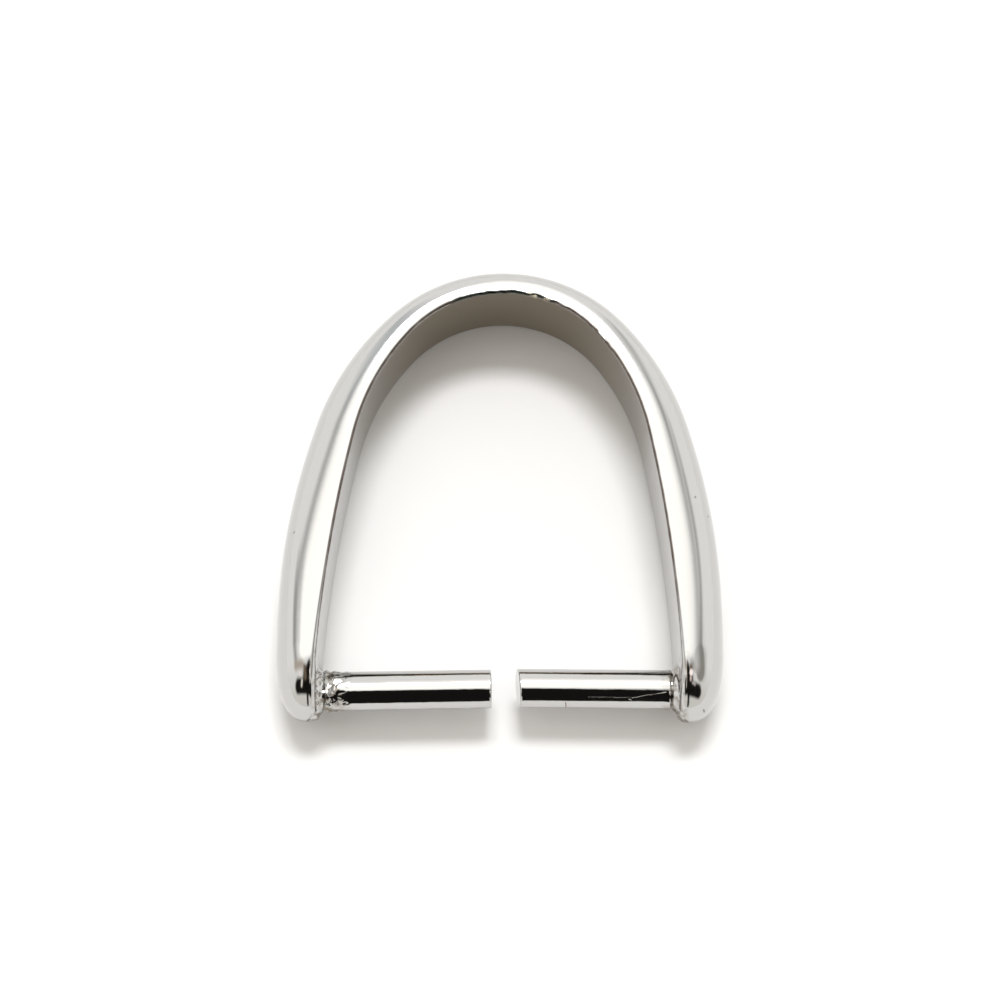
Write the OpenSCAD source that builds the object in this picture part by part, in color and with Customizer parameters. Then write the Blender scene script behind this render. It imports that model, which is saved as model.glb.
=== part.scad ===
// Pinch bail: one plated casting that lies on its side edge, crown towards +Y.
// A flat-backed, domed band bends from one foot over the crown to the other foot,
// and a round peg stands on the inside of each foot, pointing at the other one.

/* [Arch] */
// Inside radius of the crown
crown_radius = 4.25; // [3.5:0.05:5]
// Turn of the crown arc from the apex to the left shoulder, degrees
crown_turn_left = 47.5; // [42:0.5:56]
// Turn of the crown arc from the apex to the right shoulder, degrees
crown_turn_right = 52; // [42:0.5:56]
// Inside radius of the shoulders
shoulder_radius = 7.9; // [6.5:0.1:9.5]
// Turn of the left shoulder arc, degrees
shoulder_turn_left = 29; // [22:0.5:32]
// Turn of the right shoulder arc, degrees
shoulder_turn_right = 26; // [22:0.5:32]
// Inside radius of the nearly straight legs
leg_radius = 45; // [36:1:80]
// Inside height from the crown down to the tips of the feet
inside_height = 14.5; // [12:0.1:18]

/* [Band] */
// Width of the band at the crown
crown_width = 3.6; // [3:0.1:5]
// Width of the band at the feet
foot_width = 3.3; // [2.6:0.1:4.6]
// Thickness of the band at the crown
crown_thickness = 1; // [0.8:0.05:1.5]
// Thickness of the left leg
left_leg_thickness = 1.65; // [1.3:0.05:2]
// Thickness of the right leg
right_leg_thickness = 1.7; // [1.3:0.05:2]
// Share of each side's length at which the full leg thickness is reached
full_thickness_at = 0.65; // [0.5:0.05:0.8]
// Fullness of the domed outside, 2 is an ellipse and more is squarer
dome_fullness = 3; // [2:0.1:4]
// Radius of the edges along the flat inside, at the crown
edge_round = 0.12; // [0.06:0.01:0.2]

/* [Feet] */
// Thickness towards which the left leg thins at its tip
left_foot_thickness = 1.4; // [1.1:0.05:1.7]
// Thickness towards which the right leg thins at its tip
right_foot_thickness = 1.5; // [1.1:0.05:1.7]
// Length over which the outside of a foot curves in to its tip
foot_taper = 2.3; // [1.8:0.1:3.2]
// Length over which the side edges of a foot curve in to its tip
foot_round = 2.3; // [1.6:0.1:3]
// Fullness of the domed outside at a foot's tip, 2 is an ellipse and more is squarer
foot_fullness = 2.1; // [1.8:0.1:4]
// Radius of the edges along the flat inside, at a foot's tip
foot_edge_round = 0.25; // [0.06:0.01:0.4]
// Radius of the inner corner of a foot's tip
foot_corner = 0.3; // [0.2:0.05:0.5]

/* [Pegs] */
// Diameter of both pegs
peg_diameter = 1.3; // [1:0.05:1.6]
// Gap between the free ends, under the apex of the crown
peg_gap = 0.8; // [0.4:0.05:2]
// Height of the left peg's root above the foot's tip
left_peg_rise = 1; // [0.95:0.05:1.6]
// Height of the right peg's root above the foot's tip
right_peg_rise = 1.1; // [0.95:0.05:1.6]
// Rise of the left peg towards its free end, degrees
left_peg_lift = 1.1; // [0:0.1:2.5]
// Rise of the right peg towards its free end, degrees
right_peg_lift = 0.4; // [0:0.1:2.5]
// Slant of the right peg's nipped end, degrees
nipped_slant = 7; // [0:0.5:9]
// Direction round the peg in which the nipped end leans back, degrees from the top
nipped_side = 45; // [0:5:90]
// Chamfer round the free ends
peg_chamfer = 0.05; // [0.02:0.01:0.1]

/* [Solder] */
// Length of the solder collar at each peg's root
collar_length = 0.3; // [0.2:0.05:0.6]
// Radius that the collar gains where it meets the foot
collar_flare = 0.15; // [0.05:0.01:0.25]
// Depth of the groove between the collar and the peg
groove_depth = 0.06; // [0.02:0.01:0.1]
// Length of the rough solder run along the left peg
solder_run = 1.2; // [0.8:0.1:1.6]
// Mean thickness of the rough solder run
solder_skin = 0.04; // [0.02:0.01:0.08]
// Radius of the largest lump in the solder run
lump_radius = 0.36; // [0.25:0.01:0.45]
// Share of its radius by which a lump's centre lies inside the peg's surface
lump_sink = 0.7; // [0.6:0.05:0.9]

/* [Hidden] */
plate_colour = "silver";
LEFT = 0;
RIGHT = 1;
crown_turns = [crown_turn_left, crown_turn_right];
shoulder_turns = [shoulder_turn_left, shoulder_turn_right];
leg_thicknesses = [left_leg_thickness, right_leg_thickness];
foot_thicknesses = [left_foot_thickness, right_foot_thickness];
degrees_per_radian = 180 / PI;
round_fn = 64;

// Rings along each arc of one side, and along the curving tip of a foot
crown_steps = 13;
shoulder_steps = 8;
leg_steps = 7;
tip_steps = 12;
// Points of one ring: across the dome, and round each inside edge
dome_steps = 18;
edge_steps = 3;
ring_size = dome_steps + 1 + 2 * edge_steps;

// The side edges of the band are flat planes, so the casting lies at this lean
rest_lean = atan((crown_width - foot_width) / 2 / inside_height);

// How far the first two arcs of a side come down, and how far the leg then turns
function arcs_drop(a, b) =
    crown_radius * (1 - cos(a)) + shoulder_radius * (cos(a) - cos(a + b));
function end_turn_for(depth, a, b) =
    acos(cos(a + b) - (depth - arcs_drop(a, b)) / leg_radius);
function end_turn(side) =
    end_turn_for(inside_height, crown_turns[side], shoulder_turns[side]);

// Lengths along the inside of one side
function crown_run(side) = crown_radius * crown_turns[side] / degrees_per_radian;
function shoulder_run(side) =
    crown_run(side) + shoulder_radius * shoulder_turns[side] / degrees_per_radian;
function full_run(side) = shoulder_run(side)
    + leg_radius * (end_turn(side) - crown_turns[side] - shoulder_turns[side])
    / degrees_per_radian;

// Turn, sideways reach and depth of the inside after a length along one side
function turn_at(s, side) =
    s < crown_run(side) ? s / crown_radius * degrees_per_radian :
    s < shoulder_run(side) ?
        crown_turns[side] + (s - crown_run(side)) / shoulder_radius * degrees_per_radian :
    crown_turns[side] + shoulder_turns[side]
        + (s - shoulder_run(side)) / leg_radius * degrees_per_radian;
function reach_of(t, a, b) = crown_radius * sin(min(t, a))
    + shoulder_radius * (sin(min(max(t, a), a + b)) - sin(a))
    + leg_radius * (sin(max(t, a + b)) - sin(a + b));
function depth_of(t, a, b) = crown_radius * (1 - cos(min(t, a)))
    + shoulder_radius * (cos(a) - cos(min(max(t, a), a + b)))
    + leg_radius * (cos(a + b) - cos(max(t, a + b)));

// Quarter ellipse that grows from 0 at the tip to 1 at the given length from it
function rounded(d, length) = d >= length ? 1 : sqrt(1 - pow(1 - d / length, 2));

// How far the section has changed to that of the foot's tip, at a share of a side's length
function foot_share(u) =
    let (v = max(u - full_thickness_at, 0) / (1 - full_thickness_at)) v * v * (3 - 2 * v);
function towards_foot(at_crown, at_foot, u) = at_crown + (at_foot - at_crown) * foot_share(u);

// Half width of the band at a depth, and its thickness at a share of a side's length
function half_width_at(depth) =
    (crown_width - (crown_width - foot_width) * depth / inside_height) / 2;
function thickness_at(u, side) =
    let (
        leg = leg_thicknesses[side],
        thickened = (1 - cos(180 * min(u / full_thickness_at, 1))) / 2)
    towards_foot(crown_thickness + (leg - crown_thickness) * thickened, foot_thicknesses[side], u);

function signed_power(v, e) = sign(v) * pow(abs(v), e);

// One ring of the band in its own plane: distance out from the inside face, and height
function section(inner, outer, half, u) =
    let (
        fullness = towards_foot(dome_fullness, foot_fullness, u),
        round_to = towards_foot(edge_round, foot_edge_round, u),
        edge = min(round_to, (outer - inner) / 3, half / 2),
        base = inner + edge)
    concat(
        [for (i = [0 : dome_steps]) let (a = 180 * i / dome_steps)
            [base + (outer - base) * signed_power(sin(a), 2 / fullness),
             half * signed_power(cos(a), 2 / fullness)]],
        [for (i = [1 : edge_steps]) let (a = 90 * i / edge_steps)
            [base - edge * sin(a), -half + edge * (1 - cos(a))]],
        [for (i = [0 : edge_steps - 1]) let (a = 90 * (1 - i / edge_steps))
            [base - edge * sin(a), half - edge * (1 - cos(a))]]);

// The casting is turned to lie flat on its side edge
function laid(p) = [
    p[0],
    p[1] * cos(rest_lean) - p[2] * sin(rest_lean),
    p[1] * sin(rest_lean) + p[2] * cos(rest_lean)];

// The ring at a length along one side, as points in space
function ring_at(s, side) =
    let (
        a = crown_turns[side],
        b = shoulder_turns[side],
        t = turn_at(s, side),
        way = side == LEFT ? -1 : 1,
        x = reach_of(t, a, b),
        depth = depth_of(t, a, b),
        d = full_run(side) - s,
        u = s / full_run(side),
        full = thickness_at(u, side),
        half = half_width_at(depth),
        inner = foot_corner * (1 - rounded(d, foot_corner)),
        outer = foot_corner + (full - foot_corner) * rounded(d, foot_taper),
        ring = section(inner, outer, half * rounded(d, foot_round), u))
    [for (q = ring) laid([way * (x + q[0] * sin(t)), q[0] * cos(t) - depth, q[1]])];

function tip_of(side) =
    let (t = end_turn(side), way = side == LEFT ? -1 : 1)
    laid([way * (reach_of(t, crown_turns[side], shoulder_turns[side]) + foot_corner * sin(t)),
        foot_corner * cos(t) - inside_height, 0]);

// Lengths of the rings of one side, from the apex to just before the tip
function stations(side) = concat(
    [for (i = [1 : crown_steps]) crown_run(side) * i / crown_steps],
    [for (i = [1 : shoulder_steps])
        crown_run(side) + (shoulder_run(side) - crown_run(side)) * i / shoulder_steps],
    [for (i = [1 : leg_steps])
        shoulder_run(side) + (full_run(side) - foot_taper - shoulder_run(side)) * i / leg_steps],
    [for (i = [1 : tip_steps - 1])
        full_run(side) - foot_taper * (1 - sin(90 * i / tip_steps))]);

left_stations = stations(LEFT);
right_stations = stations(RIGHT);
rings = concat(
    [for (i = [len(left_stations) - 1 : -1 : 0]) ring_at(left_stations[i], LEFT)],
    [ring_at(0, RIGHT)],
    [for (s = right_stations) ring_at(s, RIGHT)]);
left_tip = tip_of(LEFT);
right_tip = tip_of(RIGHT);

// The origin is under the middle of the whole casting's box, on the table
band_points = concat([left_tip], [for (r = rings) each r], [right_tip]);
low = [for (k = [0 : 2]) min([for (p = band_points) p[k]])];
high = [for (k = [0 : 2]) max([for (p = band_points) p[k]])];
middle = [(low[0] + high[0]) / 2, (low[1] + high[1]) / 2, low[2]];

// Where a peg meets the inside of its foot
function root_depth(rise) = inside_height - rise;
function root_reach(rise, side) =
    let (a = crown_turns[side], b = shoulder_turns[side])
    reach_of(end_turn_for(root_depth(rise), a, b), a, b);
function peg_length(rise, lift, side) =
    (root_reach(rise, side) - peg_gap / 2) / cos(lift);

module band() {
    last = len(rings) - 1;
    next = function (j) (j + 1) % ring_size;
    spot = function (i, j) 1 + i * ring_size + j;
    sides = [for (i = [0 : last - 1], j = [0 : ring_size - 1]) each [
        [spot(i, j), spot(i + 1, next(j)), spot(i + 1, j)],
        [spot(i, j), spot(i, next(j)), spot(i + 1, next(j))]]];
    left_cap = [for (j = [0 : ring_size - 1]) [0, spot(0, next(j)), spot(0, j)]];
    right_cap = [for (j = [0 : ring_size - 1])
        [len(band_points) - 1, spot(last, j), spot(last, next(j))]];
    polyhedron(points = band_points, faces = concat(sides, left_cap, right_cap), convexity = 6);
}

// A peg along +Z from its root at 0, with the solder collar round its root
module peg_blank(length) {
    r = peg_diameter / 2;
    flare = r + collar_flare;
    buried = foot_corner;
    groove = r - groove_depth;
    rotate_extrude($fn = round_fn) polygon([
        [0, -buried],
        [r, -buried],
        [flare, 0],
        [r + collar_flare * 0.35, collar_length * 0.3],
        [groove, collar_length * 0.75],
        [r, collar_length],
        [r, length - peg_chamfer],
        [r - peg_chamfer, length],
        [0, length]]);
}

// Rough solder left on the left peg: a skin round the root and lumps on its upper side
module rough_solder() {
    r = peg_diameter / 2;
    rotate_extrude($fn = round_fn) polygon([
        [0, 0],
        [r + solder_skin * 1.5, 0],
        [r + solder_skin * 0.75, solder_run * 0.85],
        [r, solder_run],
        [0, solder_run]]);
    // Each row: share of the run from the root, degrees from the top, share of the lump radius
    for (lump = [[0.2, 25, 1], [0.48, 50, 0.8], [0.3, -20, 0.7], [0.72, 20, 0.55]])
        rotate([0, 0, lump[1]])
            translate([-r + lump_radius * lump[2] * lump_sink, 0, solder_run * lump[0]])
                sphere(r = lump_radius * lump[2], $fn = round_fn / 2);
}

// Places a peg: its axis turns from +Z to point at the other foot
module at_root(side, rise, lift) {
    way = side == LEFT ? 1 : -1;
    rotate([rest_lean, 0, 0])
        translate([-way * root_reach(rise, side), -root_depth(rise), 0])
            rotate([0, 0, way * lift]) rotate([0, way * 90, 0]) children();
}

module left_peg() {
    at_root(LEFT, left_peg_rise, left_peg_lift) {
        peg_blank(peg_length(left_peg_rise, left_peg_lift, LEFT));
        rough_solder();
    }
}

module right_peg() {
    knife = peg_diameter * 2;
    r = peg_diameter / 2;
    length = peg_length(right_peg_rise, right_peg_lift, RIGHT);
    at_root(RIGHT, right_peg_rise, right_peg_lift) difference() {
        peg_blank(length);
        rotate([0, 0, -nipped_side]) translate([-r, 0, length]) rotate([0, nipped_slant, 0])
            translate([-knife / 2, -knife / 2, 0]) cube([knife * 1.5, knife, knife]);
    }
}

module bail() {
    color(plate_colour) translate(-middle) {
        band();
        left_peg();
        right_peg();
    }
}

bail();
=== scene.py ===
"""Looks of the pinch bail: a bright plated casting that lies on its side edge on a white table.

One node tree pulls a ball into the domed band and two more into the pegs, solders them into one
skin and gives it its casting marks. Sizes are in millimetres until the tree sets the casting on
the table, in metres.
"""

import math
from collections import namedtuple
from types import SimpleNamespace

import bpy
from mathutils import Matrix, Vector


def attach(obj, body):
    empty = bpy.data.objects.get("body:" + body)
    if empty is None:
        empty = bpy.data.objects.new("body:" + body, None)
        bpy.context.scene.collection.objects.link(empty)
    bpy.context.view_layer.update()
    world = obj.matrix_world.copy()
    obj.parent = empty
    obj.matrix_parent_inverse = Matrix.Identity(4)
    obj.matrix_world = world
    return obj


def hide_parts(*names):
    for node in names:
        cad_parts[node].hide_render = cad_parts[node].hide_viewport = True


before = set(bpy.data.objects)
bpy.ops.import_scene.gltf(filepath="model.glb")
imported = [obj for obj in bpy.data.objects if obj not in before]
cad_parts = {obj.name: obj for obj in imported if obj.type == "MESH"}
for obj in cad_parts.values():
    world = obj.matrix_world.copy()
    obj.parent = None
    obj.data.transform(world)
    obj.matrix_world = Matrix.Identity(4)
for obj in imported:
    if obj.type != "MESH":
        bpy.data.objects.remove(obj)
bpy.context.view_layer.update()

MM = 0.001

# Sizes of the band, the same as in the part's source
BAND = SimpleNamespace(
    crown_radius=4.25,
    left_crown_turn=math.radians(47.5),
    right_crown_turn=math.radians(52),
    shoulder_radius=7.9,
    left_shoulder_turn=math.radians(29),
    right_shoulder_turn=math.radians(26),
    leg_radius=45.0,
    inside_height=14.5,
    crown_width=3.6,
    foot_width=3.3,
    crown_thickness=1.0,
    left_leg_thickness=1.65,
    right_leg_thickness=1.7,
    left_foot_thickness=1.4,
    right_foot_thickness=1.5,
    full_thickness_at=0.65,
    dome_fullness=3.0,
    foot_fullness=2.1,
    edge_round=0.12,
    foot_edge_round=0.25,
    foot_taper=2.3,
    foot_round=2.3,
    foot_corner=0.3,
)
REST_LEAN = math.atan((BAND.crown_width - BAND.foot_width) / 2 / BAND.inside_height)

# Sizes of the pegs, the same as in the part's source
PEG_RADIUS = 0.65
PEG_GAP = 0.8
PEG_CHAMFER = 0.05
LEFT_PEG_RISE, RIGHT_PEG_RISE = 1.0, 1.1
LEFT_PEG_LIFT, RIGHT_PEG_LIFT = math.radians(1.1), math.radians(0.4)
COLLAR_LENGTH = 0.3
COLLAR_FLARE = 0.15
GROOVE_DEPTH = 0.06
SOLDER_RUN = 1.2


class Term:
    """A node's output that can be written in sums."""

    def __init__(self, tree, made, output=0):
        self.tree = tree
        self.made = made
        self.output = output

    @property
    def socket(self):
        return self.made.outputs[self.output]

    def math(self, operation, *values):
        return self.tree.node("ShaderNodeMath", {"operation": operation}, values)

    def __add__(self, other):
        return self.math("ADD", self, other)

    def __sub__(self, other):
        return self.math("SUBTRACT", self, other)

    def __mul__(self, other):
        return self.math("MULTIPLY", self, other)

    def __truediv__(self, other):
        return self.math("DIVIDE", self, other)

    __radd__ = __add__
    __rmul__ = __mul__

    def __rsub__(self, other):
        return self.math("SUBTRACT", other, self)

    def __rtruediv__(self, other):
        return self.math("DIVIDE", other, self)


class Tree:
    """Adds nodes to a node tree: settings are set first, then the sockets' values or links."""

    def __init__(self, node_tree):
        self.node_tree = node_tree

    def node(self, kind, settings=None, inputs=(), output=0):
        """A new node, as a term for one of its outputs. A list of terms all go to one socket."""
        made = self.node_tree.nodes.new(kind)
        for name, value in (settings or {}).items():
            setattr(made, name, value)
        for key, value in inputs.items() if isinstance(inputs, dict) else enumerate(inputs):
            for one in value if isinstance(value, list) else [value]:
                if isinstance(one, Term):
                    self.node_tree.links.new(one.socket, made.inputs[key])
                else:
                    made.inputs[key].default_value = one
        return Term(self, made, output)

    def outputs(self, term):
        """Every output of a term's node, as a term of its own."""
        return [Term(self, term.made, number) for number in range(len(term.made.outputs))]

    def clamped(self, operation, *values):
        """Math whose result is kept from 0 to 1."""
        return self.node("ShaderNodeMath", {"operation": operation, "use_clamp": True}, values)

    def vector(self, x, y, z):
        return self.node("ShaderNodeCombineXYZ", inputs=(x, y, z))

    def parts(self, vector):
        return self.outputs(self.node("ShaderNodeSeparateXYZ", inputs=(vector,)))

    def vector_math(self, operation, *values):
        output = "Value" if operation in ("DOT_PRODUCT", "DISTANCE") else "Vector"
        return self.node("ShaderNodeVectorMath", {"operation": operation}, values, output)

    def scaled(self, vector, factor):
        inputs = {"Vector": vector, "Scale": factor}
        return self.node("ShaderNodeVectorMath", {"operation": "SCALE"}, inputs)

    def mixed(self, cover, first, second):
        """Colour that goes from the first to the second as the cover goes from 0 to 1."""
        mix = self.node("ShaderNodeMix", {"data_type": "RGBA"}, {"Factor": cover})
        for name, colour in (("A", first), ("B", second)):
            socket = next(s for s in mix.made.inputs if s.name == name and s.type == "RGBA")
            if isinstance(colour, Term):
                self.node_tree.links.new(colour.socket, socket)
            else:
                socket.default_value = (*colour, 1)
        mix.output = next(
            number for number, s in enumerate(mix.made.outputs) if s.type == "RGBA"
        )
        return mix


def worked(operation, plain=None):
    """A Math node as a function, which also takes plain numbers where a plain form is given."""

    def call(*values):
        term = next((v for v in values if isinstance(v, Term)), None)
        return term.math(operation, *values) if term else plain(*values)

    return call


sine = worked("SINE", math.sin)
cosine = worked("COSINE", math.cos)
least = worked("MINIMUM", min)
most = worked("MAXIMUM", max)
angle_of = worked("ARCTAN2")
power = worked("POWER")
root_of = worked("SQRT")
size_of = worked("ABSOLUTE")
sign_of = worked("SIGN")
past = worked("GREATER_THAN")


def between(value, low, high):
    """Value kept within two limits."""
    return least(most(value, low), high)


def share(value, start, end):
    """How far value has come from start to end, from 0 to 1."""
    return between((value - start) / (end - start), 0, 1)


def blend(first, second, part):
    """Goes from the first to the second as the part goes from 0 to 1."""
    return first + (second - first) * part


def eased(value):
    """A share that starts and ends gently."""
    return value * value * (3 - value * 2)


def swell(distance, width):
    """A bell: 1 at distance 0, an eighth at the width."""
    part = distance / width
    return power(1 / 8, part * part)


def signed_power(value, exponent):
    return sign_of(value) * power(size_of(value), exponent)


def rounded(distance, length, squareness=2.0):
    """Quarter ellipse that grows from 0 at the tip to 1 at the given length from it. A squareness
    over 2 fills its corner."""
    part = 1 - least(distance / length, 1)
    return power(most(1 - power(part, squareness), 0), 1 / squareness)


def grain(tree, place, size, detail=2.0):
    """Noise from -1 to 1 whose lumps are about the given size."""
    noise = tree.node(
        "ShaderNodeTexNoise", inputs={"Vector": place, "Scale": 1 / size, "Detail": detail}
    )
    return noise * 2 - 1


def grains(tree, place, layers):
    """Noise of several sizes, each with its own height."""
    return sum(grain(tree, place, size) * height for size, height in layers)


def ball(tree, segments, rings):
    """A ball's mesh, each point's share of the way from its top to its bottom, and its angle."""
    mesh = tree.node("GeometryNodeMeshUVSphere", inputs=(segments, rings, 1.0))
    x, y, z = tree.parts(tree.node("GeometryNodeInputPosition"))
    return mesh, angle_of(root_of(x * x + y * y), z) / math.pi, angle_of(y, x)


def moved(tree, mesh, place):
    return tree.node("GeometryNodeSetPosition", inputs={"Geometry": mesh, "Position": place})


def leant(y, z):
    """The casting is turned to lie flat on its side edge."""
    lean_sine, lean_cosine = math.sin(REST_LEAN), math.cos(REST_LEAN)
    return y * lean_cosine - z * lean_sine, y * lean_sine + z * lean_cosine


# The path of the inside, as in the part's source


def end_turn_for(depth, band, crown_turn, shoulder_turn):
    """Turn of the path, from level at the apex, where it reaches a depth on the leg."""
    bend = crown_turn + shoulder_turn
    drop = band.crown_radius * (1 - math.cos(crown_turn))
    drop += band.shoulder_radius * (math.cos(crown_turn) - math.cos(bend))
    return math.acos(math.cos(bend) - (depth - drop) / band.leg_radius)


def run_to(depth, band, crown_turn, shoulder_turn):
    """Length along one side, from the apex down to a depth on the leg."""
    leg_turn = end_turn_for(depth, band, crown_turn, shoulder_turn) - crown_turn - shoulder_turn
    return (
        band.crown_radius * crown_turn
        + band.shoulder_radius * shoulder_turn
        + band.leg_radius * leg_turn
    )


def arch(s, band, crown_turn, shoulder_turn):
    """Turn, reach and depth of the inside after a length s along one side."""
    crown_run = crown_turn * band.crown_radius
    shoulder_run = shoulder_turn * band.shoulder_radius
    crown_reflection = least(s, crown_run) / band.crown_radius
    on_shoulder = between(s - crown_run, 0, shoulder_run) / band.shoulder_radius
    on_leg = most(s - crown_run - shoulder_run, 0) / band.leg_radius
    bend = crown_turn + shoulder_turn
    reach = (
        sine(crown_reflection) * band.crown_radius
        + (sine(crown_turn + on_shoulder) - sine(crown_turn)) * band.shoulder_radius
        + (sine(bend + on_leg) - sine(bend)) * band.leg_radius
    )
    depth = (
        (1 - cosine(crown_reflection)) * band.crown_radius
        + (cosine(crown_turn) - cosine(crown_turn + on_shoulder)) * band.shoulder_radius
        + (cosine(bend) - cosine(bend + on_leg)) * band.leg_radius
    )
    return crown_reflection + on_shoulder + on_leg, reach, depth


def peg_sizes(rise, lift, crown_turn, shoulder_turn):
    """Where a peg stands and how long it is."""
    depth = BAND.inside_height - rise
    run = run_to(depth, BAND, crown_turn, shoulder_turn)
    reach = arch(run, BAND, crown_turn, shoulder_turn)[1]
    length = (reach - PEG_GAP / 2) / math.cos(lift)
    return SimpleNamespace(depth=depth, reach=reach, length=length, lift=lift)


LEFT_TURNS = BAND.left_crown_turn, BAND.left_shoulder_turn
RIGHT_TURNS = BAND.right_crown_turn, BAND.right_shoulder_turn
LEFT_PEG = peg_sizes(LEFT_PEG_RISE, LEFT_PEG_LIFT, *LEFT_TURNS)
RIGHT_PEG = peg_sizes(RIGHT_PEG_RISE, RIGHT_PEG_LIFT, *RIGHT_TURNS)
BAND.left_run = run_to(BAND.inside_height, BAND, *LEFT_TURNS)
BAND.right_run = run_to(BAND.inside_height, BAND, *RIGHT_TURNS)

# The band

BAND_SEGMENTS, BAND_RINGS = 128, 520
# Share of each side's rings that goes to the last stretch of its foot
FOOT_RINGS = 0.2
# Shares of the way round the section at which the dome ends and the flat inside starts and ends.
# The edges' roundings follow the dome and the inside.
DOME_END, INSIDE_START, INSIDE_END = 0.6, 0.7, 0.9
# The feet's corners are a tenth of a millimetre fuller than the part's plain ellipses
FOOT_SQUARENESS = 2.4
# Sizes that the left side and the right side each have of their own
SIDE_SIZES = ("crown_turn", "shoulder_turn", "run", "leg_thickness", "foot_thickness")

# Attributes that are 1 along the upper inner edge, which has the burrs and a painted dark
# reflection, and on the inside, which has painted shade.
# The first fades over a width in millimetres, the second over a share of the way round.
INNER_EDGE, INSIDE = "inner_edge", "inside"
INNER_EDGE_WIDTH, INSIDE_FADE = 0.16, 0.02

# Casting burrs of the crown's upper inner edge, between two places in millimetres along the arch
# to the right of the apex. The bias is added to their noise, so that more of the edge has them.
# They stand into the arch by their height, and up by a share of that.
BURR = SimpleNamespace(start=-1.7, end=4.2, fade=0.3, size=0.45, bias=0.25, height=0.11, rise=0.5)


def burr_height(tree, place, sideways):
    """Lumps of the casting burr at the crown's inner edge."""
    from_left = share(sideways, BURR.start - BURR.fade, BURR.start)
    from_right = share(sideways, BURR.end + BURR.fade, BURR.end)
    return from_left * from_right * most(grain(tree, place, BURR.size) + BURR.bias, 0) * BURR.height


def spaced(along):
    """Share of a side's length for a share of its rings: even steps along the arch, then ever
    shorter ones on the last stretch of a foot."""
    gain = 1 / (2 * FOOT_RINGS - FOOT_RINGS * FOOT_RINGS)
    to_tip = least(1 - along, FOOT_RINGS)
    even = least(along, 1 - FOOT_RINGS) * (2 * FOOT_RINGS * gain)
    return even + (FOOT_RINGS * FOOT_RINGS - to_tip * to_tip) * gain


def section(way_round, half, inner, outer, edge, fullness):
    """How far out and how high the section's skin is: over the dome, round the lower edge, up the
    flat inside and round the upper edge."""
    over_dome = share(way_round, 0, DOME_END) * math.pi
    low_edge = share(way_round, DOME_END, INSIDE_START) * (math.pi / 2)
    up_inside = share(way_round, INSIDE_START, INSIDE_END)
    high_edge = share(way_round, INSIDE_END, 1) * (math.pi / 2)
    base = inner + edge
    bulge = power(most(sine(over_dome), 0), 2 / fullness)
    fall = signed_power(cosine(over_dome), 2 / fullness)
    out = base + (outer - base) * bulge - edge * sine(low_edge) + edge * (1 - cosine(high_edge))
    height = (
        half * fall
        + edge * (1 - cosine(low_edge))
        + (half - edge) * 2 * up_inside
        + edge * sine(high_edge)
    )
    return out, height


def band_mesh(tree, band):
    """A ball pulled along the arch: its top is the left foot's tip and its bottom the right's."""
    mesh, down, turned = ball(tree, BAND_SEGMENTS, BAND_RINGS)
    offset = down * 2 - 1
    right = past(offset, 0)
    side = right * 2 - 1
    crown_turn, shoulder_turn, full_run, leg_thickness, foot_thickness = (
        blend(getattr(band, "left_" + name), getattr(band, "right_" + name), right)
        for name in SIDE_SIZES
    )
    part = spaced(size_of(offset))
    turn, reach, depth = arch(part * full_run, band, crown_turn, shoulder_turn)

    thickening = (1 - cosine(least(part / band.full_thickness_at, 1) * math.pi)) / 2
    thinning = eased(share(part, band.full_thickness_at, 1))
    thickness = blend(band.crown_thickness, leg_thickness, thickening)
    thickness = thickness + (foot_thickness - leg_thickness) * thinning
    to_tip = (1 - part) * full_run
    half = (band.crown_width - (band.crown_width - band.foot_width) * depth / band.inside_height) / 2
    half = half * rounded(to_tip, band.foot_round)
    inner = band.foot_corner * (1 - rounded(to_tip, band.foot_corner))
    outer = blend(band.foot_corner, thickness, rounded(to_tip, band.foot_taper, FOOT_SQUARENESS))
    # An edge's rounding takes a third of the thickness and half of the half width at most
    edge = blend(band.edge_round, band.foot_edge_round, thinning)
    edge = least(least(edge, (outer - inner) / 3), half / 2)
    fullness = blend(band.dome_fullness, band.foot_fullness, thinning)
    way_round = turned / (2 * math.pi) + 0.5
    out, height = section(way_round, half, inner, outer, edge, fullness)

    to_edge = root_of((out - inner) * (out - inner) + (half - height) * (half - height))
    at_edge = swell(to_edge, INNER_EDGE_WIDTH)
    sideways = side * part * full_run
    burr = at_edge * burr_height(tree, tree.vector(sideways, height, 0), sideways)
    x = side * (reach + (out - burr) * sine(turn))
    y, z = leant((out - burr) * cosine(turn) - depth, height + burr * BURR.rise)
    inside = share(way_round, INSIDE_START - INSIDE_FADE, INSIDE_START)
    inside = inside * (1 - share(way_round, INSIDE_END, INSIDE_END + INSIDE_FADE))
    # Stored before the points move, since they are worked out from the ball's places
    for name, value in ((INNER_EDGE, at_edge), (INSIDE, inside)):
        mesh = tree.node(
            "GeometryNodeStoreNamedAttribute",
            {"data_type": "FLOAT", "domain": "POINT"},
            {"Geometry": mesh, "Name": name, "Value": value},
        )
    return moved(tree, mesh, tree.vector(x, y, z))


# The pegs

PEG_SEGMENTS, PEG_RINGS = 112, 110
# Shares of a peg's rings at which its buried end, root, shaft and chamfer end
PEG_ENDS = (0.03, 0.6, 0.82, 0.9)
PEG_BURIED = 0.5
# Where the groove is along the collar, and its width
GROOVE_AT, GROOVE_WIDTH = COLLAR_LENGTH * 0.75, 0.06
FILLET_LENGTH, FILLET_FLARE = 0.5, 0.12
# Size and height of each layer of the drawn wire's waviness and of the rough solder's lumps
WIRE_WAVES = ((1.5, 0.008), (0.3, 0.001))
SOLDER_LUMPS = ((0.6, 0.10), (0.25, 0.04))
# The right wire's waves are taken this far away in the noise, so that they differ
RIGHT_WIRE_PLACE = 10
# Share of the solder's run that is rough all over, and the thickness that it adds there
ROUGH_SHARE, SOLDER_SKIN = 0.3, 0.04
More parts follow.
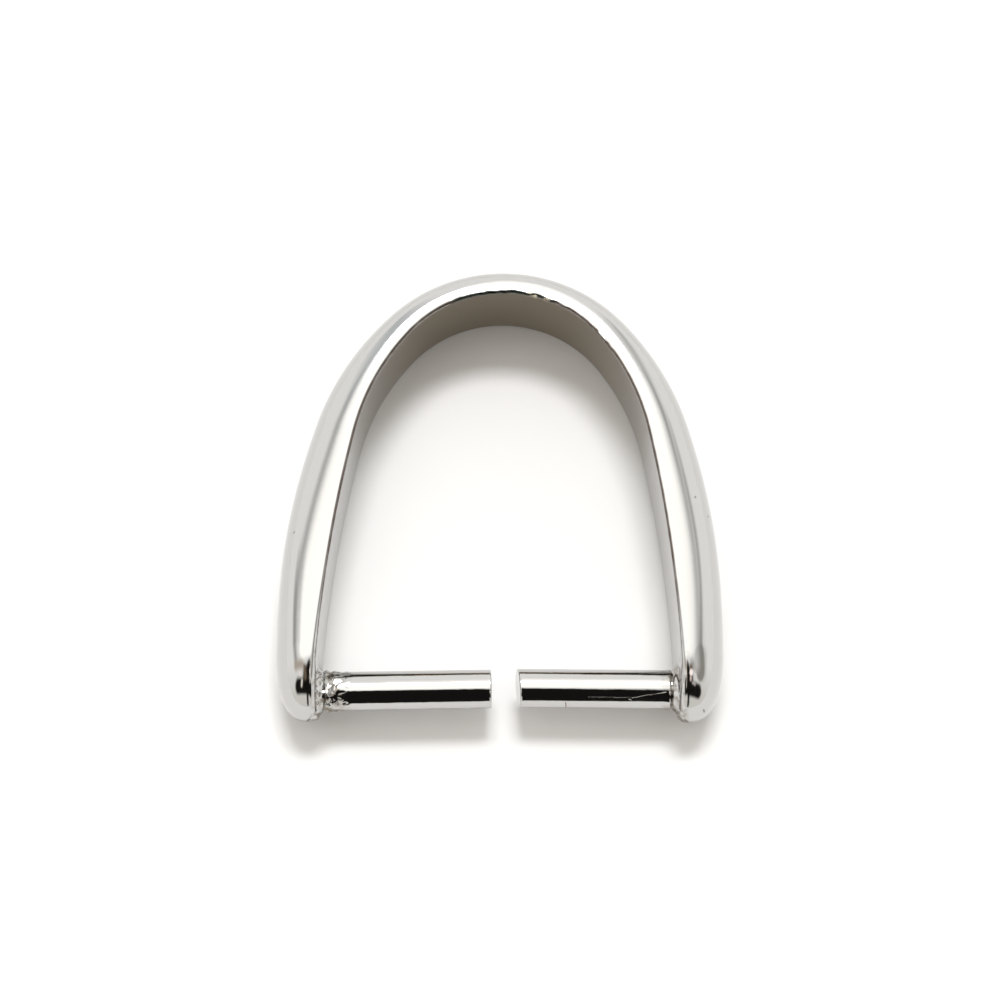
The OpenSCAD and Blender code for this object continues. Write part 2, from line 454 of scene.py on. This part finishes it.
# Creases between the solder's lumps: the width is a share of their spacing
CREASE_SPACING, CREASE_WIDTH, CREASE_DEPTH = 0.4, 0.25, 0.05
END_HOLLOW = 0.03
NIPPED_SLANT, NIPPED_SIDE = math.radians(7), math.radians(45)


def peg_mesh(tree, way, peg, radius_at, set_back):
    """A ball pulled into a peg. Way is 1 for the left peg, which points to +X, and -1 for the
    other. The radius depends on how far along a point is and which way from the middle line, and
    the set-back of the end on how far up and to the crown's side a point is."""
    mesh, down, turned = ball(tree, PEG_SEGMENTS, PEG_RINGS)
    buried_end, root_end, shaft_end, chamfer_end = PEG_ENDS
    root_zone = SOLDER_RUN + COLLAR_LENGTH
    on_shaft = share(down, root_end, shaft_end)
    round_chamfer = share(down, shaft_end, chamfer_end) * (math.pi / 2)
    t = (
        share(down, buried_end, root_end) * (PEG_BURIED + root_zone)
        - PEG_BURIED
        + on_shaft * (peg.length - PEG_CHAMFER - root_zone)
        + sine(round_chamfer) * PEG_CHAMFER
    )
    up_share, crown_share = cosine(turned), sine(turned) * way
    radius = radius_at(tree, t, up_share, crown_share)
    radius = radius - (1 - cosine(round_chamfer)) * PEG_CHAMFER
    radius = radius * least(share(down, 0, buried_end), 1 - share(down, chamfer_end, 1))
    up, crownward = up_share * radius, crown_share * radius
    t = t - set_back(up, crownward) * on_shaft
    lift_sine, lift_cosine = sine(peg.lift), cosine(peg.lift)
    x = peg.reach - t * lift_cosine + crownward * lift_sine
    y, z = leant(t * lift_sine + crownward * lift_cosine - peg.depth, up)
    return moved(tree, mesh, tree.vector(x * -way, y, z))


def collar(t, crown_share):
    """Extra radius of the solder round a root: a flare with a groove behind it, and a longer
    fillet towards the crown and towards the tip."""
    near = 1 - share(t, 0, GROOVE_AT)
    fillet = 1 - share(t, 0, FILLET_LENGTH)
    return (
        near * near * COLLAR_FLARE
        - swell(t - GROOVE_AT, GROOVE_WIDTH) * GROOVE_DEPTH
        + fillet * fillet * crown_share * crown_share * FILLET_FLARE
    )


def left_radius(tree, t, up_share, crown_share):
    """Drawn wire with a collar of solder and rough solder past it."""
    place = tree.vector(t, up_share * PEG_RADIUS, crown_share * PEG_RADIUS)
    to_crease = tree.node(
        "ShaderNodeTexVoronoi",
        {"feature": "DISTANCE_TO_EDGE"},
        {"Vector": place, "Scale": 1 / CREASE_SPACING},
    )
    creases = (1 - share(to_crease, 0, CREASE_WIDTH)) * CREASE_DEPTH
    solder = grains(tree, place, SOLDER_LUMPS) - creases + SOLDER_SKIN
    rough = 1 - share(t, SOLDER_RUN * ROUGH_SHARE, SOLDER_RUN)
    wire = PEG_RADIUS + collar(t, crown_share) + grains(tree, place, WIRE_WAVES)
    return wire + solder * rough


def right_radius(tree, t, up_share, crown_share):
    """Drawn wire with a collar of solder."""
    up = up_share * PEG_RADIUS + RIGHT_WIRE_PLACE
    place = tree.vector(t, up, crown_share * PEG_RADIUS)
    return PEG_RADIUS + collar(t, crown_share) + grains(tree, place, WIRE_WAVES)


def hollow_end(up, crownward):
    """The left peg's end is a little hollow."""
    return (1 - (up * up + crownward * crownward) / PEG_RADIUS / PEG_RADIUS) * END_HOLLOW


def nipped_end(up, crownward):
    """The right peg's end is slanted, as if nipped."""
    lean = up * math.cos(NIPPED_SIDE) - crownward * math.sin(NIPPED_SIDE) + PEG_RADIUS
    return lean * math.tan(NIPPED_SLANT)


# The whole casting

# Points that nearly coincide where two skins meet are merged, so no sliver is left
MERGE_DISTANCE = 0.006
SHARP_ANGLE = math.radians(32)


def shaded(tree, skin, domain, smooth, selection=True):
    return tree.node(
        "GeometryNodeSetShadeSmooth",
        {"domain": domain},
        {"Geometry": skin, "Selection": selection, "Shade Smooth": smooth},
    )


def bail_tree(plating):
    """The node tree of the whole casting, and the values of its named inputs."""
    tree = Tree(bpy.data.node_groups.new("pinch_bail", "GeometryNodeTree"))
    interface = tree.node_tree.interface
    values = {}
    for words, sizes in (("", BAND), ("left peg ", LEFT_PEG), ("right peg ", RIGHT_PEG)):
        for name, value in vars(sizes).items():
            label = (words + name).replace("_", " ").capitalize()
            socket = interface.new_socket(label, in_out="INPUT", socket_type="NodeSocketFloat")
            values[socket.identifier] = value
    interface.new_socket("Geometry", in_out="OUTPUT", socket_type="NodeSocketGeometry")
    terms = iter(tree.outputs(tree.node("NodeGroupInput")))
    band, left_peg, right_peg = (
        SimpleNamespace(**{name: next(terms) for name in vars(sizes)})
        for sizes in (BAND, LEFT_PEG, RIGHT_PEG)
    )
    arch_skin = band_mesh(tree, band)
    left = peg_mesh(tree, 1, left_peg, left_radius, hollow_end)
    right = peg_mesh(tree, -1, right_peg, right_radius, nipped_end)
    soldered = tree.node(
        "GeometryNodeMeshBoolean",
        {"operation": "UNION", "solver": "MANIFOLD"},
        {"Mesh 2": [arch_skin, left, right]},
    )
    merging = {"Geometry": soldered, "Distance": MERGE_DISTANCE}
    soldered = tree.node("GeometryNodeMergeByDistance", inputs=merging)
    # The middle of the band's box goes over the origin, and its underside onto the table
    low, high = tree.outputs(tree.node("GeometryNodeBoundBox", inputs=(arch_skin,)))[1:3]
    (low_x, low_y, low_z), (high_x, high_y, _) = tree.parts(low), tree.parts(high)
    middle = tree.vector((low_x + high_x) / 2, (low_y + high_y) / 2, low_z)
    place = tree.node("GeometryNodeInputPosition")
    on_table = tree.vector_math("SUBTRACT", place, middle)
    skin = moved(tree, soldered, tree.scaled(on_table, MM))
    sharp = past(tree.node("GeometryNodeInputMeshEdgeAngle"), SHARP_ANGLE)
    skin = shaded(tree, skin, "FACE", True)
    skin = shaded(tree, skin, "EDGE", False, sharp)
    real = tree.node("GeometryNodeRealizeInstances", inputs=(skin,))
    plated = tree.node("GeometryNodeSetMaterial", inputs={"Geometry": real, "Material": plating})
    tree.node("NodeGroupOutput", inputs=(plated,))
    return tree.node_tree, values


def made_by(node_tree, values, name):
    """A plain mesh object made by a node tree."""
    blank = bpy.data.objects.new(name + "_blank", bpy.data.meshes.new(name + "_blank"))
    bpy.context.scene.collection.objects.link(blank)
    modifier = blank.modifiers.new("made", "NODES")
    modifier.node_group = node_tree
    for identifier, value in values.items():
        modifier[identifier] = value
    result = blank.evaluated_get(bpy.context.evaluated_depsgraph_get())
    piece = bpy.data.objects.new(name, bpy.data.meshes.new_from_object(result))
    piece.data.name = name
    bpy.data.objects.remove(blank)
    bpy.context.scene.collection.objects.link(piece)
    return piece


def material_tree(material):
    material.use_nodes = True
    material.node_tree.nodes.clear()
    return Tree(material.node_tree)


# The plating

# A rounded stroke on a flat map: its two ends and half width, the width of its soft edge, and
# its colour
Stroke = namedtuple("Stroke", "start end half_width soft light")

# Marks on the plating, each a stroke seen from above, in millimetres
SCRATCH = (0.40, 0.38, 0.33)
CREAM = (0.80, 0.74, 0.58)
PALE = (0.9, 0.9, 0.9)
RUST = (0.16, 0.09, 0.05)
PIT = (0.20, 0.19, 0.18)
# The marks by how far down the casting they reach, in millimetres above the table
MARKS = {
    # Scratch along the right peg, its loop and a nick, then pits in the flanks and the right foot
    1.6: (
        Stroke((2.95, -7.01), (4.4, -7.03), 0.006, 0.016, SCRATCH),
        Stroke((4.4, -7.03), (5.5, -6.84), 0.006, 0.016, SCRATCH),
        Stroke((4.28, -7.08), (4.36, -7.1), 0.006, 0.016, SCRATCH),
        Stroke((2.18, -7.17), (2.2, -7.32), 0.016, 0.02, RUST),
        Stroke((-6.88, -1.66), (-6.87, -1.62), 0.02, 0.04, PIT),
        Stroke((6.97, -0.99), (6.97, -1.02), 0.02, 0.04, PIT),
        Stroke((6.51, -0.44), (6.53, -0.4), 0.02, 0.04, PIT),
        Stroke((6.74, -7.46), (6.76, -7.48), 0.03, 0.04, PIT),
    ),
    # Worn burrs on the crown's inner edge
    3.3: (
        Stroke((0.95, 6.74), (1.2, 6.62), 0.04, 0.08, CREAM),
        Stroke((1.5, 6.52), (1.65, 6.45), 0.02, 0.06, CREAM),
        Stroke((3.4, 5.32), (3.55, 5.16), 0.05, 0.06, PALE),
        Stroke((1.85, 6.28), (1.9, 6.26), 0.03, 0.04, RUST),
    ),
}
# A mark fades in over this height
MARK_FADE = 0.1
# The marks waver this far along X and Y, over a length for each
WAVER, WAVER_SIZES = 0.02, (0.4, 0.3)

PLATE = (0.54, 0.536, 0.528)
# Painted dark reflections: along the band's inner edge, and darker still at the crown's inner edge
EDGE_DARK_REFLECTION = (0.085, 0.055, 0.04)
CROWN_DARK_REFLECTION = (0.035, 0.045, 0.038)
# Painted shade on the inside, darkest at the crown: it stands for the shadowed table that the inside
# mirrors
INSIDE_SHADE = (0.36, 0.31, 0.24)
# The solder's own stain, darkened as painted shade in the crevices round the roots
SOLDER_STAIN_AND_SHADE = (0.17, 0.14, 0.095)

# Soft limits of the plating's zones, seen from above, in millimetres. Each limit goes from 0 at
# its first value to 1 at its second. Aside is to either side of the middle.
PEG_ZONE = SimpleNamespace(aside=(5.75, 5.6), down=(-5.4, -5.6))
CROWN_ZONE = SimpleNamespace(left=(-1.9, -1.4), right=(2.3, 1.3), up=(6.0, 6.4))
ROOT_ZONE = SimpleNamespace(
    right=(5.3, 5.75), left=(-4.9, -5.5), down=(-5.6, -5.9), aside=(6.3, 6.1)
)
INSIDE_ZONE = (1.0, 6.0)

# The painted dark reflections of the edge and the crown are patchy, and come in between two levels
# of the edge's attribute
PATCH_SIZE, PATCHINESS = 0.5, 0.3
EDGE_LEVELS, EDGE_PATCHINESS, EDGE_STRENGTH = (0.42, 0.8), 0.5, 0.9
CROWN_LEVELS = (0.35, 0.7)
# The solder's stain and the painted shade in its crevices are denser low down: their level falls
# with each millimetre of height
SOLDER_PATCH, SOLDER_LEVELS = 0.25, (-0.1, 0.5)
SOLDER_FALL, SOLDER_START = 0.35, 0.85

# Roughness of the cast band, and how much of it the drawn pegs lack or a flaw adds
CAST_ROUGHNESS = 0.075
PEG_POLISH, SCUFF_ROUGHNESS, SOLDER_ROUGHNESS, MARK_ROUGHNESS = 0.035, 0.06, 0.12, 0.06
SCUFF_SIZE, SCUFF_DETAIL = 1.8, 4.0
# Size and height of the relief: lines along the pegs, from noise whose X is scaled down, the
# band's waves, and a fine grain over all
LINE_STRETCH, LINE_SIZE, LINE_HEIGHT = 0.15, 0.05, 0.0004
WAVE_SIZE, WAVE_HEIGHT = 0.9, 0.0012
GRAIN_SIZE, GRAIN_HEIGHT = 0.12, 0.00025
MARK_DEPTH = 0.004


def stroke_cover(tree, place, stroke):
    """1 on the stroke, falling to 0 over its soft edge. Place is flat, with 0 for its height."""
    nearest = start = Vector((*stroke.start, 0))
    step = Vector((*stroke.end, 0)) - start
    if step.length:
        share_of_step = step / step.length_squared
        along = tree.vector_math("DOT_PRODUCT", place, share_of_step)
        along = tree.clamped("SUBTRACT", along, share_of_step.dot(start))
        nearest = tree.vector_math("MULTIPLY_ADD", along, step, start)
    distance = tree.vector_math("DISTANCE", place, nearest)
    reach = stroke.half_width / stroke.soft + 0.5
    return tree.clamped("MULTIPLY_ADD", distance, -1 / stroke.soft, reach)


def attribute(tree, name):
    return tree.node("ShaderNodeAttribute", {"attribute_name": name}, output="Fac")


def stains_and_shade(tree, place):
    """Colour of the plate with its stains, painted shade and painted dark reflections, and how far
    the solder's stain and painted shade cover it.
    """
    x, y, z = tree.parts(place)
    aside = size_of(x)
    edge = attribute(tree, INNER_EDGE)
    patchy = grain(tree, place, PATCH_SIZE) * PATCHINESS
    at_crown = (
        share(x, *CROWN_ZONE.left) * share(x, *CROWN_ZONE.right) * share(y, *CROWN_ZONE.up)
    )
    round_roots = (
        (share(x, *ROOT_ZONE.right) + share(x, *ROOT_ZONE.left))
        * share(y, *ROOT_ZONE.down)
        * share(aside, *ROOT_ZONE.aside)
    )
    solder_level = grain(tree, place, SOLDER_PATCH) - z * SOLDER_FALL + SOLDER_START
    # Painted shade on the inside, growing towards the crown
    inside_shade = attribute(tree, INSIDE) * share(y, *INSIDE_ZONE)
    # Painted dark reflections along the inner edge and, darker, at the crown
    edge_reflection = share(edge + patchy * EDGE_PATCHINESS, *EDGE_LEVELS) * EDGE_STRENGTH
    crown_reflection = share(edge + patchy, *CROWN_LEVELS) * at_crown
    # The solder's stain, with painted shade in the crevices, denser low down
    solder_and_shade = round_roots * share(solder_level, *SOLDER_LEVELS)
    colour = tree.mixed(inside_shade, PLATE, INSIDE_SHADE)
    colour = tree.mixed(edge_reflection, colour, EDGE_DARK_REFLECTION)
    colour = tree.mixed(crown_reflection, colour, CROWN_DARK_REFLECTION)
    return tree.mixed(solder_and_shade, colour, SOLDER_STAIN_AND_SHADE), solder_and_shade


def marked(tree, place, colour):
    """The colour with every mark on it, and how far the marks cover it."""
    x, y, z = tree.parts(place)
    wavering = (grain(tree, place, size) * WAVER for size in WAVER_SIZES)
    flat = tree.vector_math("ADD", tree.vector(x, y, 0), tree.vector(*wavering, 0))
    covered = 0.0
    for lowest, marks in MARKS.items():
        above = share(z, lowest, lowest + MARK_FADE)
        for mark in marks:
            cover = stroke_cover(tree, flat, mark) * above
            colour = tree.mixed(cover, colour, mark.light)
            covered = covered + cover
    return colour, covered


def plating_material():
    """Bright rhodium or nickel plate: soft polish on the cast band, drawn wire for the pegs, the
    solder's stain with painted shade in its crevices, painted dark reflections along the band's
    inner edge, painted shade on the inside, scratches and pits."""
    material = bpy.data.materials.new("bright_plate")
    tree = material_tree(material)
    place = tree.scaled(tree.node("ShaderNodeTexCoord", output="Object"), 1 / MM)
    x, y, z = tree.parts(place)
    on_peg = share(size_of(x), *PEG_ZONE.aside) * share(y, *PEG_ZONE.down)
    colour, solder_and_shade = stains_and_shade(tree, place)
    colour, covered = marked(tree, place, colour)

    scuffs = most(grain(tree, place, SCUFF_SIZE, SCUFF_DETAIL), 0)
    roughness = (
        CAST_ROUGHNESS
        - on_peg * PEG_POLISH
        + scuffs * SCUFF_ROUGHNESS
        + solder_and_shade * SOLDER_ROUGHNESS
        + covered * MARK_ROUGHNESS
    )
    along_peg = tree.vector(x * LINE_STRETCH, y, z)
    lines = grain(tree, along_peg, LINE_SIZE) * on_peg * LINE_HEIGHT
    waves = grain(tree, place, WAVE_SIZE) * (1 - on_peg) * WAVE_HEIGHT
    fine = grain(tree, place, GRAIN_SIZE) * GRAIN_HEIGHT
    height = lines + (waves + fine) - covered * MARK_DEPTH
    bump = tree.node(
        "ShaderNodeBump", inputs={"Strength": 1.0, "Distance": MM, "Height": height}
    )
    shader = tree.node(
        "ShaderNodeBsdfPrincipled",
        inputs={"Base Color": colour, "Metallic": 1.0, "Roughness": roughness, "Normal": bump},
    )
    tree.node("ShaderNodeOutputMaterial", inputs=(shader,))
    return material


plating = plating_material()
bail = made_by(*bail_tree(plating), "plated_bail")
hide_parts("bail")
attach(bail, "root")

# The table, wide enough to reach the horizon in every view
TABLE_HALF = 1500 * MM
TABLE_WHITE = (0.765, 0.755, 0.74, 1)


def table():
    mesh = bpy.data.meshes.new("table")
    corners = [(-1, -1), (1, -1), (1, 1), (-1, 1)]
    mesh.from_pydata([(x * TABLE_HALF, y * TABLE_HALF, 0) for x, y in corners], [], [(0, 1, 2, 3)])
    top = bpy.data.objects.new("table", mesh)
    bpy.context.scene.collection.objects.link(top)
    material = bpy.data.materials.new("white_table")
    tree = material_tree(material)
    shader = tree.node("ShaderNodeBsdfDiffuse", inputs={"Color": TABLE_WHITE})
    tree.node("ShaderNodeOutputMaterial", inputs=(shader,))
    mesh.materials.append(material)
    return top


table()


# Things around the bail that light it or show in it, each a stroke on a map of the sky, in
# degrees east and north of the point overhead. A later stroke covers an earlier one.
WHITE = (1.92, 1.88, 1.80)
LAMP = (37.0, 37.5, 39.0)
FRAME = (0.44, 0.44, 0.43)
DIM = (0.42, 0.40, 0.37)
BLACK = (0.012, 0.011, 0.010)
BROWN = (0.23, 0.175, 0.125)
STROKES = (
    # Softbox and the lamp behind it
    Stroke((-22, 4), (8, 8), 12, 6, WHITE),
    Stroke((3, 22), (6, 38), 8, 12, WHITE),
    Stroke((-5, 26), (7, 26), 5, 2, LAMP),
    # Its frame
    Stroke((-18, 22), (-54, 13), 2, 9, FRAME),
    Stroke((-53, 11), (-48, -12), 5, 12, FRAME),
    Stroke((-17, 29), (-28, 46), 3, 18, (0.49, 0.55, 0.58)),
    Stroke((24, 26), (33, 44), 2, 14, (0.49, 0.51, 0.49)),
    Stroke((25, 22), (28, 12), 2, 10, (0.34, 0.34, 0.33)),
    # Dim room on the camera's side, with pale spots
    Stroke((48, -6), (50, -20), 12, 14, (0.74, 0.71, 0.67)),
    Stroke((36, -4), (42, -20), 15, 4, DIM),
    Stroke((16, -15), (32, -17), 7, 8, DIM),
    Stroke((22, 4), (26, -14), 4, 26, (1.2, 1.19, 1.16)),
    Stroke((-50, -14), (-26, -15), 6, 8, (0.70, 0.62, 0.52)),
    Stroke((36, 20), (43, -2), 3, 11, (0.40, 0.395, 0.38)),
    # Dark things there
    Stroke((-43, -44), (38, -52), 13, 6, BLACK),
    Stroke((-6, -32), (2, -34), 16, 5, BLACK),
    Stroke((-2, -18), (0, -80), 8.5, 4, BLACK),
    Stroke((-17, -19), (-14, -32), 4.5, 6, BROWN),
    Stroke((11.5, -18), (12, -31), 3.5, 4, BROWN),
    # Bright gaps between them
    Stroke((-33, -26), (-33, -26), 3.5, 3, (1.4, 1.2, 1.15)),
    Stroke((-26, -37), (-28, -44), 3, 3, (1.3, 1.2, 1.1)),
    Stroke((12, -25), (12, -25), 4.5, 3, (1.9, 1.7, 1.6)),
    Stroke((11, -32), (11, -35), 2, 3, (1.3, 1.05, 0.95)),
    Stroke((17, -39), (25, -41), 2, 3, (0.75, 0.7, 0.68)),
)
# The room's walls, a little dimmer to the south, between two places on the map
WALLS = (1.25, 1.24, 1.21)
SOUTH_WALLS = (1.00, 0.97, 0.92)
SOUTH_FADE = (-55, -10)
# Where the map is cut into quarters
EAST_SIDE, NORTH_SIDE = 0, 13
NEARLY_OVERHEAD = 1e-6
BACKDROP = (1.0, 1.0, 1.0, 1)


def reaches(stroke, east_side, north_side):
    """Whether a stroke reaches into a quarter of the map, whose sides are each 1 or -1."""
    edge = stroke.half_width + stroke.soft / 2
    ends = (stroke.start, stroke.end)
    return any((end[0] - EAST_SIDE) * east_side + edge > 0 for end in ends) and any(
        (end[1] - NORTH_SIDE) * north_side + edge > 0 for end in ends
    )


def studio():
    """White light from a softbox overhead in a pale room, with dark things on the camera's side."""
    world = bpy.data.worlds.new("studio")
    bpy.context.scene.world = world
    world.use_nodes = True
    world.node_tree.nodes.clear()
    tree = Tree(world.node_tree)
    x, y, z = tree.parts(tree.node("ShaderNodeTexCoord", output="Generated"))
    sideways = root_of(x * x + y * y)
    stretch = angle_of(sideways, z) * (180 / math.pi) / most(sideways, NEARLY_OVERHEAD)
    east, north = x * stretch, y * stretch
    place = tree.vector(east, north, 0)
    walls = tree.mixed(share(north, *SOUTH_FADE), SOUTH_WALLS, WALLS)
    # Whole numbers for shares, so only one quarter's strokes are worked out for a ray
    halves = []
    for north_side in (-1, 1):
        quarters = []
        for east_side in (-1, 1):
            light = walls
            for stroke in STROKES:
                if reaches(stroke, east_side, north_side):
                    light = tree.mixed(stroke_cover(tree, place, stroke), light, stroke.light)
            quarters.append(tree.node("ShaderNodeBackground", inputs=(light,)))
        halves.append(
            tree.node("ShaderNodeMixShader", inputs=(past(east, EAST_SIDE), *quarters))
        )
    around = tree.node("ShaderNodeMixShader", inputs=(past(north, NORTH_SIDE), *halves))
    camera_ray = tree.node("ShaderNodeLightPath", output="Is Camera Ray")
    backdrop = tree.node("ShaderNodeBackground", inputs=(BACKDROP,))
    shader = tree.node("ShaderNodeMixShader", inputs=(camera_ray, around, backdrop))
    tree.node("ShaderNodeOutputWorld", inputs=(shader,))


studio()

# The camera, at the photograph's angle: above and a little south of the bail, looking down and
# north. Its turns are in radians, and its aim and distances in millimetres.
CAMERA_DISTANCE = 80.163
CAMERA_TILT, CAMERA_SWING, CAMERA_ROLL = 0.27, 0.0136, -0.0035
CAMERA_AIM = Vector((0.0076, -0.1305, 1.8))
SENSOR, FOCAL = 36, 84.7
NEAREST, FARTHEST = 1, 10000


def camera():
    eye = bpy.data.objects.new("camera", bpy.data.cameras.new("camera"))
    bpy.context.scene.collection.objects.link(eye)
    eye.data.sensor_width, eye.data.lens = SENSOR, FOCAL
    turn = (
        Matrix.Rotation(CAMERA_ROLL, 3, "Z")
        @ Matrix.Rotation(CAMERA_SWING, 3, "Y")
        @ Matrix.Rotation(-CAMERA_TILT, 3, "X")
    ).transposed()
    place = CAMERA_AIM * MM + turn @ Vector((0, 0, CAMERA_DISTANCE * MM))
    eye.matrix_world = Matrix.Translation(place) @ turn.to_4x4()
    eye.data.clip_start, eye.data.clip_end = NEAREST * MM, FARTHEST * MM
    bpy.context.scene.camera = eye


camera()
bpy.context.scene.view_settings.view_transform = "Standard"
